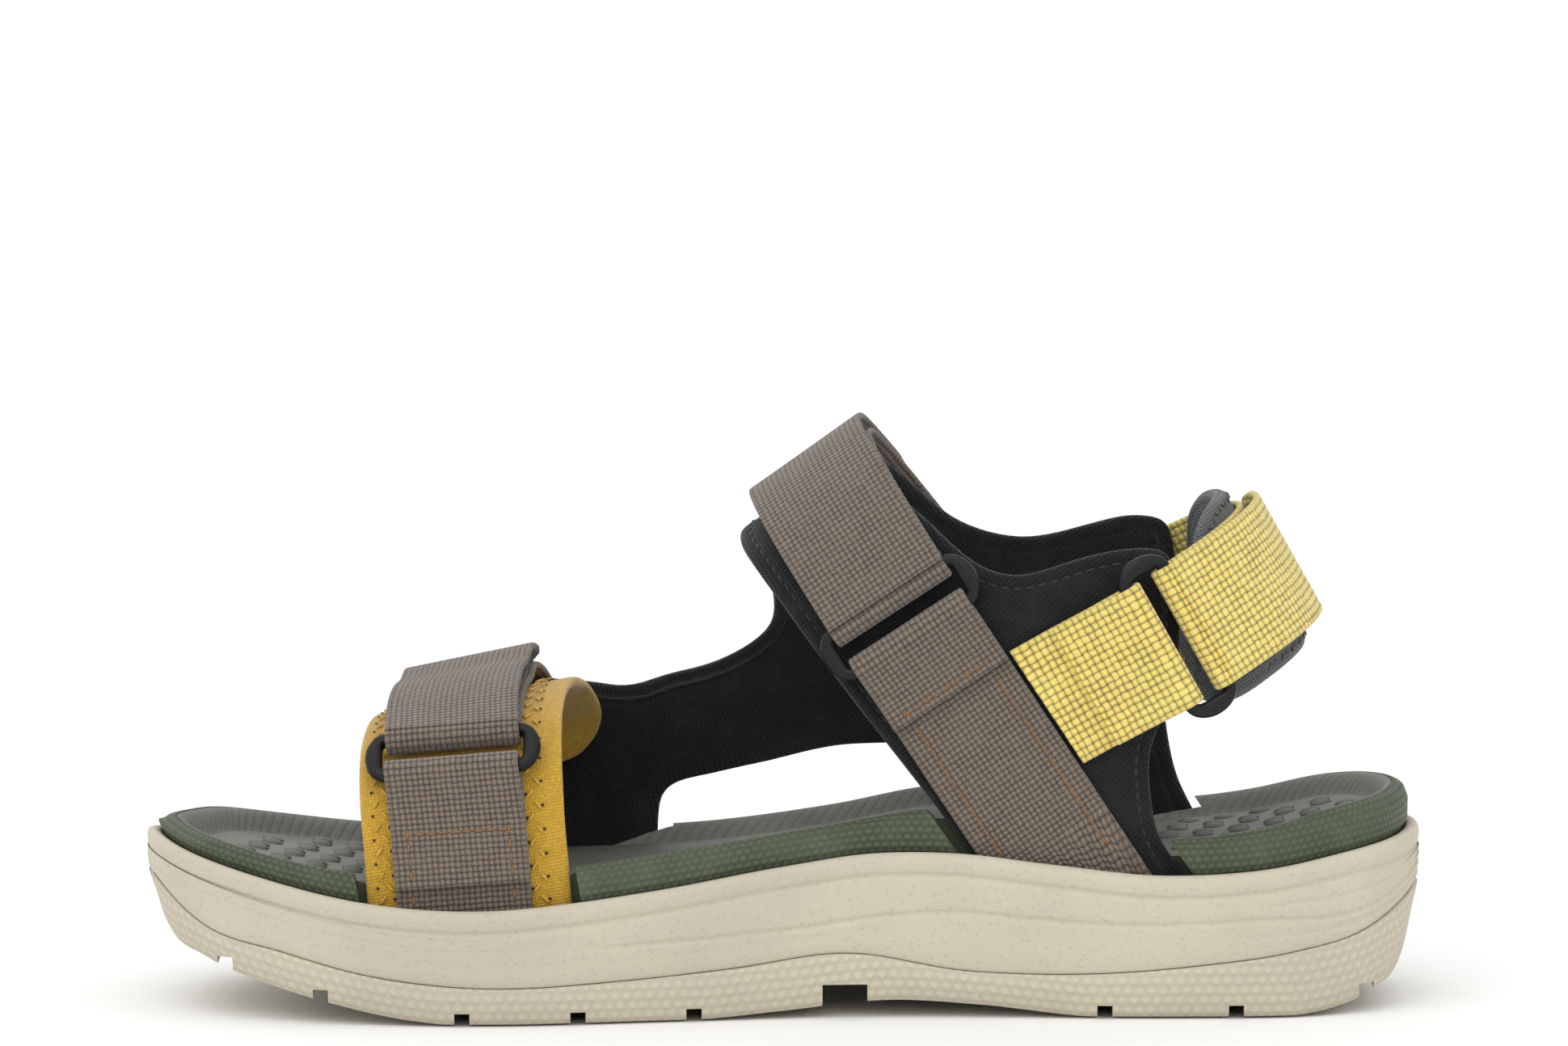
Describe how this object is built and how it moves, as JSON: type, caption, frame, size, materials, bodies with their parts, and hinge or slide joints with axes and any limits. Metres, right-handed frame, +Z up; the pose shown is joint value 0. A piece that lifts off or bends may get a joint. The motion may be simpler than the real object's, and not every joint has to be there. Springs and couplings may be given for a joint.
{
  "type": "strappy sport sandal",
  "caption": "Right sport sandal with a thick contoured sole, padded upper, and webbing straps that run through oval rings and fasten back on themselves at forefoot, instep and heel.",
  "frame": {"origin": "on the ground under the middle of the sole", "axes": "+X from toe to heel, -Y to the medial (arch) side, +Z up"},
  "size_m": [0.2848, 0.1051, 0.1309],
  "materials": {
    "outsole_rubber": "matte",
    "midsole_foam": "matte",
    "footbed_foam": "matte",
    "padding_mustard": "matte",
    "padding_grey": "matte",
    "knit_black": "matte",
    "webbing_brown": "matte",
    "webbing_yellow": "matte",
    "loop_tape": "matte",
    "hook_tape": "matte",
    "ring_plastic": "satin"
  },
  "bodies": {
    "sandal": {"outsole": "outsole_rubber", "midsole": "midsole_foam", "footbed": "footbed_foam", "forefoot_pad": "padding_mustard", "heel_pad": "padding_grey", "lateral_upper": "knit_black", "medial_quarter": "knit_black", "forefoot_keeper": "webbing_brown", "forefoot_strap": "webbing_brown", "forefoot_loop_patch": "loop_tape", "forefoot_hook_patch": "hook_tape", "instep_keeper": "webbing_brown", "instep_strap": "webbing_brown", "instep_loop_patch": "loop_tape", "instep_hook_patch": "hook_tape", "heel_keeper": "webbing_yellow", "heel_strap": "webbing_yellow", "heel_loop_patch": "loop_tape", "heel_hook_patch": "hook_tape"},
    "forefoot_ring_body": {"forefoot_ring": "ring_plastic", "forefoot_strap_turn": "webbing_brown"},
    "instep_ring_body": {"instep_ring": "ring_plastic", "instep_strap_turn": "webbing_brown"},
    "heel_ring_body": {"heel_ring": "ring_plastic", "heel_strap_turn": "webbing_yellow"},
    "forefoot_tab_body": {"forefoot_strap_tab": "webbing_brown"},
    "instep_tab_body": {"instep_strap_tab": "webbing_brown"},
    "heel_tab_body": {"heel_strap_tab": "webbing_yellow"}
  },
  "joints": [
    {"name": "forefoot_ring_pivot", "type": "hinge", "parent": "sandal", "child": "forefoot_ring_body", "pos_m": [-0.0734, -0.04141, 0.05584], "axis": [0.9909, -0.0963, 0.094], "range_deg": [0, 20]},
    {"name": "forefoot_tab_peel", "type": "hinge", "parent": "forefoot_ring_body", "child": "forefoot_tab_body", "pos_m": [-0.07379, -0.0363, 0.06525], "axis": [0.9909, -0.0963, 0.094], "range_deg": [0, 110]},
    {"name": "instep_ring_pivot", "type": "hinge", "parent": "sandal", "child": "instep_ring_body", "pos_m": [0.02844, -0.03537, 0.08495], "axis": [0.8359, -0.0088, 0.5488], "range_deg": [0, 20]},
    {"name": "instep_tab_peel", "type": "hinge", "parent": "instep_ring_body", "child": "instep_tab_body", "pos_m": [0.02257, -0.03627, 0.09387], "axis": [0.8359, -0.0088, 0.5488], "range_deg": [0, 110]},
    {"name": "heel_ring_pivot", "type": "hinge", "parent": "sandal", "child": "heel_ring_body", "pos_m": [0.08287, -0.03842, 0.08285], "axis": [0.4909, 0, -0.8712], "range_deg": [0, 20]},
    {"name": "heel_tab_peel", "type": "hinge", "parent": "heel_ring_body", "child": "heel_tab_body", "pos_m": [0.0922, -0.03877, 0.08811], "axis": [0.4909, 0, -0.8712], "range_deg": [0, 110]}
  ]
}
